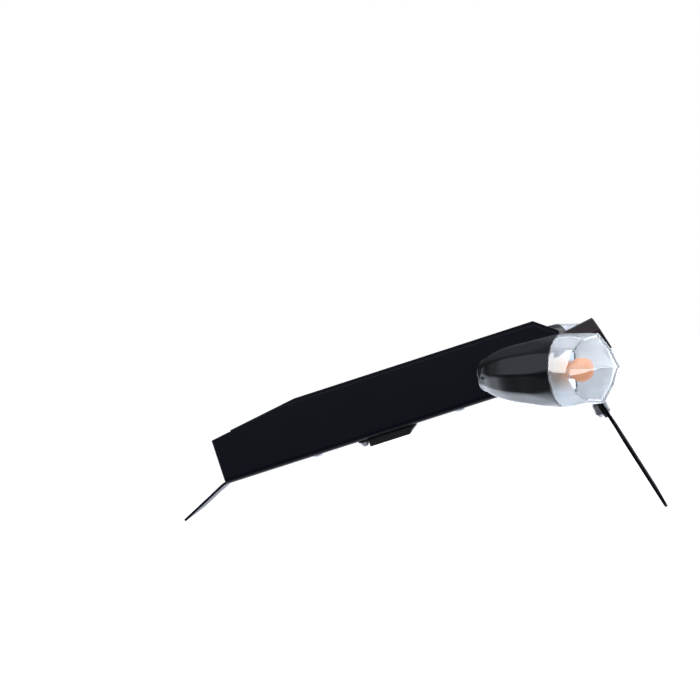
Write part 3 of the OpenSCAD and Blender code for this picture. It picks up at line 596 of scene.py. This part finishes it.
def reflector(side):
    """Depth grows with the square of how far out a point lies between hole and rim."""
    t = np.linspace(0, 1, 24)

    def dish(start, reach, run):
        return [ring(start + run * q**2, regular(DISH_HOLE + (reach - DISH_HOLE) * q),
                     CIRCLE_SOFT + (JOINT_SOFT - CIRCLE_SOFT) * q) for q in t]

    front = dish(-DISH_L + DISH_WALL, DISH_FRONT - DISH_WALL, DISH_L - DISH_WALL - JOINT_GAP)
    back = dish(-DISH_L, DISH_FRONT, DISH_L - JOINT_GAP)
    path = np.array(front + back[::-1])
    name = f"{side}_reflector_dish"
    return show(name, grid_mesh(name, [placed(path, side)], loop=True), "reflector",
                [f"{side}_reflector"])


def turned(profile, count):
    """Carries a profile of (place, radius) pairs round the X axis."""
    a = np.linspace(0, 2 * pi, count, endpoint=False)
    x, r = np.array(profile).T
    along = np.repeat(x[:, None], count, 1)
    return np.stack([along, np.outer(r, np.cos(a)), np.outer(r, np.sin(a))], -1)


def globe(side):
    """A sphere on a straight neck, followed outside and back inside one glass wall thinner."""
    def skin(r, neck):
        a = np.linspace(pi - np.arcsin(neck / r), 0.02, 40)
        ball = np.stack([GLOBE_X + r * np.cos(a), r * np.sin(a)], -1)
        return np.concatenate([[[CAP_END, neck], [CAP_END + NECK_L, neck]], ball])

    outer, inner = skin(GLOBE_R, NECK_R), skin(GLOBE_R - GLASS, NECK_R - GLASS)
    path = turned(np.concatenate([inner[::-1], outer]), 48)
    name = f"{side}_globe_skin"
    return show(name, grid_mesh(name, [placed(path, side)]), "amber_glass", [f"{side}_bulb_globe"],
                smooth=60.0)


# A direction that no wire here runs along, so that its cross product never vanishes.
OFF_AXIS = [0.31, 0.17, 0.93]


def tube(path, radius, count=8):
    """Rings of a wire round a path: two directions square to its run span each ring."""
    run = np.gradient(path, axis=0)
    run /= np.linalg.norm(run, axis=1, keepdims=True)
    side_way = np.cross(run, OFF_AXIS)
    side_way /= np.linalg.norm(side_way, axis=1, keepdims=True)
    up_way = np.cross(run, side_way)
    a = np.linspace(0, 2 * pi, count, endpoint=False)[None, :, None]
    return path[:, None] + radius * (np.cos(a) * side_way[:, None] + np.sin(a) * up_way[:, None])


def filament(side):
    """A coil of nine turns across the globe on two posts that rise from the cap."""
    t = np.linspace(0, 1, 160)
    a = 2 * pi * COIL_TURNS * t
    coil = np.stack([GLOBE_X + COIL_R * np.cos(a), COIL_L * (t - 0.5), COIL_R * np.sin(a)], -1)
    rise = np.linspace(CAP_END - 3, GLOBE_X, 12)
    posts = [np.stack([rise, np.full(12, y), np.full(12, COIL_R / 2)], -1)
             for y in (-POST_Y, POST_Y)]
    grids = [placed(tube(coil, WIRE_R), side)] + [placed(tube(p, POST_R), side) for p in posts]
    name = f"{side}_filament"
    return show(name, grid_mesh(name, grids), "zinc")


for side in SIDES:
    reflector(side)
    globe(side)
    filament(side)
    eased(f"{side}_bulb_socket", 0.3)

# %% [markdown]
# ## Rubber stalks
# Each stalk is moulded rubber with a wide foot on the tray wall and shallow ribs, so that a
# knock bends it instead of breaking it. Its profile is turned about its own axis and bored
# for the lead. The ribs are a cosine along the stalk that only takes material away.

# %% Stalks
STALK_BACK = 44.0 * cos(IND_TOE)
STALK_X, STALK_Z = IND_X - STALK_BACK * cos(IND_PITCH), IND_Z + STALK_BACK * sin(IND_PITCH)
WALL_Y = 50.0
STUD_END, STUD_R, LEAD_R = -18.2, 5.0, 3.0
FOOT_R, FOOT_L = 13.0, 3.0
STALK_R, STALK_END = 8.0, 34.0
RIB_FROM, RIB_STEP, RIB_DEPTH = 9.0, 3.2, 0.9


def stalk(side, count=64):
    """Radius against distance from the wall: stud, foot, cone, then ribs.

    Rib radius = stalk radius - depth x (1 - cos(turns of RIB_STEP)) / 2.
    """
    t = np.linspace(RIB_FROM, STALK_END, 120)
    wave = 0.5 - 0.5 * np.cos(2 * pi * (t - RIB_FROM) / RIB_STEP)
    ribs = np.stack([t, STALK_R - RIB_DEPTH * wave], -1)
    stud = [[STUD_END, STUD_R - 0.4], [STUD_END + 0.4, STUD_R], [-0.1, STUD_R], [0.0, STUD_R + 0.2]]
    foot = [[0.0, FOOT_R - 0.4], [0.3, FOOT_R], [FOOT_L - 0.4, FOOT_R], [FOOT_L, FOOT_R - 0.3]]
    cone = [[5.0, 11.0], [7.0, 9.0], [8.2, 8.2]]
    tip = [[STALK_END, STALK_R - 0.6], [STALK_END, LEAD_R], [STUD_END, LEAD_R]]
    path = turned(np.concatenate([stud, foot, cone, ribs, tip]), count)
    out = -1 if side == "left" else 1
    x, y, z = STALK_X + path[..., 1], out * (WALL_Y + path[..., 0]), STALK_Z + path[..., 2]
    stood = np.stack([x, y, z], -1)
    name = f"{side}_stalk_ribbed"
    return show(name, grid_mesh(name, [stood], loop=True), "rubber", [f"{side}_stalk"], smooth=35.0)


for side in SIDES:
    stalk(side)

# %% [markdown]
# ## Button-head screws
# A button-head screw is a low dome with a hexagon socket and a rolled thread. All of it fits
# one closed surface of rings: the ring turns from a circle into a hexagon inside the
# socket, and its radius follows a zigzag that climbs one pitch a turn along the thread.

# %% Screws
PITCHES = {3: 0.5, 4: 0.7, 5: 0.8, 6: 1.0}
# Shares of the screw's diameter, then the thread's depth as a share of its pitch.
HEAD_DOME, HEAD_WIDE, HEAD_KEY, TIP_R = 0.55, 0.875, 0.345, 0.38
THREAD_DEPTH, THREAD_STEPS, THREAD_FROM = 0.61, 8, 0.4


def hexagon(a):
    """Radius of a unit hexagon whose corners lie at 0, 60, 120 degrees and so on."""
    return cos(pi / 6) / np.cos(a % (pi / 3) - pi / 6)


def head_rings(d, dome, a):
    """Socket floor, socket wall, then the dome; sizes are shares of the head's height and radius.

    Radius = share x (k x hexagon + 1 - k), so k = 1 is a hexagon and k = 0 a circle.
    """
    high, wide, key = dome * d, HEAD_WIDE * d, HEAD_KEY * d
    socket = [(-0.36, 0.01, 1), (-0.40, 0.9 * key, 1), (-0.42, key, 1), (-0.96, key, 1),
              (-1.0, 1.06 * key, 0.6)]
    top = [(-1.0, 0.60), (-0.96, 0.68), (-0.86, 0.77), (-0.72, 0.86), (-0.5, 0.95), (-0.3, 1.0),
           (-0.06, 1.0), (0.0, 0.97)]
    outline = socket + [(z, r * wide, 0) for z, r in top]
    return [(z * high, r * (k * hexagon(a) + (1 - k))) for z, r, k in outline]


def screw(d, length, plain=THREAD_FROM, shoulder=0.0, dome=HEAD_DOME, count=36):
    """Rings from the socket over the head, down the shank and its thread to the tip.

    Thread radius = outer radius - depth x |2 frac(z / pitch - turn) - 1|, clipped at the crest.
    """
    a = np.linspace(0, 2 * pi, count, endpoint=False)
    shank = np.full(count, (shoulder or d) / 2)
    rings = head_rings(d, dome, a) + [(0.0, shank), (plain, shank)]
    pitch = PITCHES[d]
    z0, z1 = plain + 0.02, length - 0.1 * d
    for z in np.linspace(z0, z1, int((z1 - z0) / pitch * THREAD_STEPS) + 2):
        wave = np.abs(2 * ((z / pitch - a / (2 * pi)) % 1) - 1)
        rings.append((z, d / 2 - THREAD_DEPTH * pitch * np.clip(1.15 * wave - 0.1, 0, 1)))
    rings += [(length, np.full(count, TIP_R * d)), (length, np.full(count, 0.01))]
    return np.array([np.stack([r * np.cos(a), r * np.sin(a), np.full(count, z)], -1)
                     for z, r in rings])


def screws(name, points, places):
    """One piece for a set of like screws, each carried to its place by a matrix."""
    grids = []
    for place in places:
        m = np.array(place)
        grids.append(points @ m[:3, :3].T + m[:3, 3])
    threaded = f"{name}_threaded"
    return show(threaded, grid_mesh(threaded, grids), "zinc", [name], smooth=35.0)


def at(x, y, z, turn=0.0, axis="X"):
    """A place in mm whose Z, the way the screw points, is turned about one axis in degrees."""
    return Matrix.Translation((x, y, z)) @ Matrix.Rotation(radians(turn), 4, axis)


# %% Set the screws
# Each place is where the underside of a head seats on the solids.
RAKE, FOLD_R, FOLD_X, FOLD_Z = 14.5, 4.0, 157.1, -26.5
HANGER_T, TAIL_SEAT = 2.5, 19.1
BOTH = (-1, 1)
blade = at(FOLD_X + FOLD_R * cos(radians(RAKE)), 0, FOLD_Z + FOLD_R * sin(radians(RAKE)),
           90 - RAKE, "Y")
screws("guard_screws", screw(4, 8.0, dome=1.05), [at(-19, 40 * s, -21.2) for s in BOTH])
screws("hanger_bolts", screw(6, 14.3), [at(x, 24 * s, -22.5) for x in (122, 144) for s in BOTH])
screws("hood_screws", screw(4, 7.7), [at(145, 51.5 * s, -8, 90 * s) for s in BOTH])
screws("lamp_screws", screw(3, 3.8), [at(153, 20 * s, -6.5, 90, "Y") for s in BOTH])
screws("neck_screws", screw(5, 9.5), [blade @ at(31, 30 * s, HANGER_T, 180) for s in BOTH])
screws("tail_bolts", screw(6, 34.1, plain=TAIL_SEAT, shoulder=6.42),
       [at(60 * r, 25 * s, -TAIL_SEAT) for r in BOTH for s in BOTH])

# %% [markdown]
# ## Studio
# The photograph is a cut-out on white. A dark satin part on white needs care: if light came
# from everywhere, the black would turn grey. So only the camera sees white. The part is lit
# by a bright ground and soft panels, and the room stays dark at eye level on the camera's
# side.

# %% World
# Each patch: its direction, the cosines at which it starts and is full, and its strength.
PATCHES = {
    "bright ground": ((-0.1, 0.6, -0.75), 0.45, 0.95, 2.4),
    "ground ahead": ((-0.8, 0.45, -0.35), 0.82, 0.96, 3.0),
    "window ahead": ((-0.83, -0.28, 0.48), 0.90, 0.98, 1.0),
    "sky": ((0.2, 0.3, 0.9), 0.3, 1.0, 0.35),
    "rear": ((0.9, 0.2, 0.3), 0.6, 0.95, 0.8),
}
ROOM_DARK = 0.03
# Rays that went through glass see an even light and one wide patch towards the rear.
THROUGH_GLASS, BEHIND_GLASS = 1.3, ((0.9, 0.1, 0.3), -0.2, 0.9, 0.3)
COOL, PALE, WHITE = (0.90, 0.96, 1.08, 1), (0.93, 0.96, 1.0, 1), (1, 1, 1, 1)


def towards(x, y, z):
    """A direction given level beside the bike, turned into the part's frame."""
    return LEVEL @ Vector((x, y, z)).normalized()


def glow(tree, way, direction, start, full, strength):
    """A soft patch of light: its angle to the aim runs smoothly from start to full, in cosines."""
    dot = tree.nodes.new("ShaderNodeVectorMath")
    dot.operation = "DOT_PRODUCT"
    dot.inputs[1].default_value = towards(*direction)
    tree.links.new(way, dot.inputs[0])
    step = tree.nodes.new("ShaderNodeMapRange")
    step.interpolation_type = "SMOOTHSTEP"
    tree.links.new(dot.outputs["Value"], step.inputs["Value"])
    step.inputs["From Min"].default_value = start
    step.inputs["From Max"].default_value = full
    step.inputs["To Max"].default_value = strength
    return step.outputs["Result"]


def studio_world():
    """White for the camera; pale through glass; reflections see a dark room with soft patches."""
    world = bpy.data.worlds.new("studio")
    scene.world = world
    world.use_nodes = True
    tree = world.node_tree
    tree.nodes.clear()
    link = tree.links.new
    way = tree.nodes.new("ShaderNodeTexCoord").outputs["Generated"]
    total = ROOM_DARK
    for patch in PATCHES.values():
        total = maths(tree, "ADD", glow(tree, way, *patch), total)
    rays = tree.nodes.new("ShaderNodeLightPath")
    room, through, seen = (add(tree, "ShaderNodeBackground", Color=c) for c in (COOL, PALE, WHITE))
    link(total, room.inputs["Strength"])
    link(maths(tree, "ADD", glow(tree, way, *BEHIND_GLASS), THROUGH_GLASS),
         through.inputs["Strength"])
    for ray, over in (("Is Transmission Ray", through), ("Is Camera Ray", seen)):
        choice = tree.nodes.new("ShaderNodeMixShader")
        link(rays.outputs[ray], choice.inputs[0])
        link(room.outputs[0], choice.inputs[1])
        link(over.outputs[0], choice.inputs[2])
        room = choice
    link(room.outputs[0], tree.nodes.new("ShaderNodeOutputWorld").inputs["Surface"])


studio_world()
scene.view_settings.view_transform = "Standard"
scene.view_settings.look = "None"
print("patches of light in the world:", len(PATCHES))

# %% [markdown]
# ## Lights and floor
# Rectangular lights draw the soft bands along the housing's facets and the white side of the
# lens. A mirror-like facet shows a light only from one direction, so the side panels' places
# were found by reflecting the camera's line of sight. The floor is white to the camera alone,
# so it neither greys the picture nor lights the part from below.

# %% Lights and floor
MIDDLE = Vector((60.0, 0.0, -30.0))


def panel(name, place, size, power):
    """A soft rectangular light at a level place in mm that faces the part's middle."""
    data = bpy.data.lights.new(name, "AREA")
    data.shape = "RECTANGLE"
    data.size, data.size_y = size[0] * MM, size[1] * MM
    data.energy = power
    obj = bpy.data.objects.new(name, data)
    scene.collection.objects.link(obj)
    spot = LEVEL @ Vector(place)
    obj.location = spot * MM
    obj.rotation_euler = (MIDDLE - spot).to_track_quat("-Z", "Y").to_euler()
    return obj


for name, place, size, power in (
    ("overhead", (150, 250, 1300), (1200, 700), 6.0),
    ("rear_high", (1300, -300, 500), (600, 700), 3.0),
    ("side_high", (-470, -1270, 800), (760, 620), 20.0),
    ("side_rear", (1549, -678, 80), (400, 170), 2.2),
):
    panel(name, place, size, power)
print("lights:", len(bpy.data.lights))

FLOOR_DROP, FLOOR_REACH = 400.0, 6000.0


def pale_floor():
    """A wide pale floor below the part: white to the camera from above, open from below."""
    mesh = bpy.data.meshes.new("floor")
    r, z = FLOOR_REACH * MM, -FLOOR_DROP * MM
    mesh.from_pydata([(-r, -r, z), (r, -r, z), (r, r, z), (-r, r, z)], [], [(0, 1, 2, 3)])
    floor = bpy.data.objects.new("floor", mesh)
    scene.collection.objects.link(floor)
    mat, tree, shader = new_material("pale_floor")
    shader.inputs["Base Color"].default_value = (0.9, 0.9, 0.9, 1)
    shader.inputs["Roughness"].default_value = 0.9
    shader.inputs["Emission Color"].default_value = (1, 1, 1, 1)
    shader.inputs["Emission Strength"].default_value = 1.0
    rays, side = (tree.nodes.new(f"ShaderNode{n}") for n in ("LightPath", "NewGeometry"))
    upper = maths(tree, "SUBTRACT", 1.0, side.outputs["Backfacing"])
    shown = maths(tree, "MULTIPLY", rays.outputs["Is Camera Ray"], upper)
    choice, open_way = (tree.nodes.new(f"ShaderNode{n}") for n in ("MixShader", "BsdfTransparent"))
    tree.links.new(shown, choice.inputs[0])
    tree.links.new(open_way.outputs[0], choice.inputs[1])
    tree.links.new(shader.outputs[0], choice.inputs[2])
    out = next(n for n in tree.nodes if n.type == "OUTPUT_MATERIAL")
    tree.links.new(choice.outputs[0], out.inputs["Surface"])
    mesh.materials.append(mat)


pale_floor()
